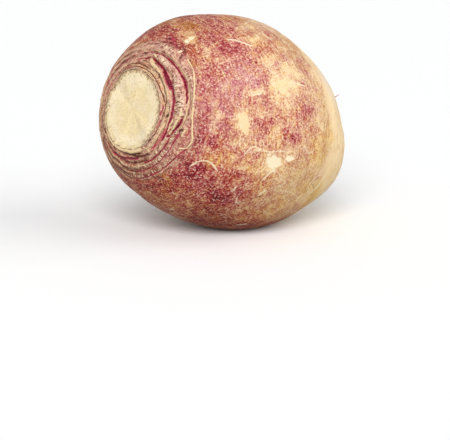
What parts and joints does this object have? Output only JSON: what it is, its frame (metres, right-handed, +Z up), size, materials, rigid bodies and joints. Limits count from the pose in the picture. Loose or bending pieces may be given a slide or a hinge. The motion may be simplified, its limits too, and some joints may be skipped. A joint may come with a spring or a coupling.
{
  "type": "turnip",
  "caption": "Rounded swede-type turnip root with a cut crown ringed by leaf scars and a short trimmed taproot, lying on its side.",
  "frame": {"origin": "middle of the small flat spot that the root rests on", "axes": "+Z up; +X along the root's length, level, towards its tail; the cut crown faces -X and is tipped up a little"},
  "size_m": [0.1443, 0.1184, 0.1142],
  "materials": {
    "skin": "satin"
  },
  "bodies": {
    "root": {"turnip": "skin"}
  },
  "joints": []
}
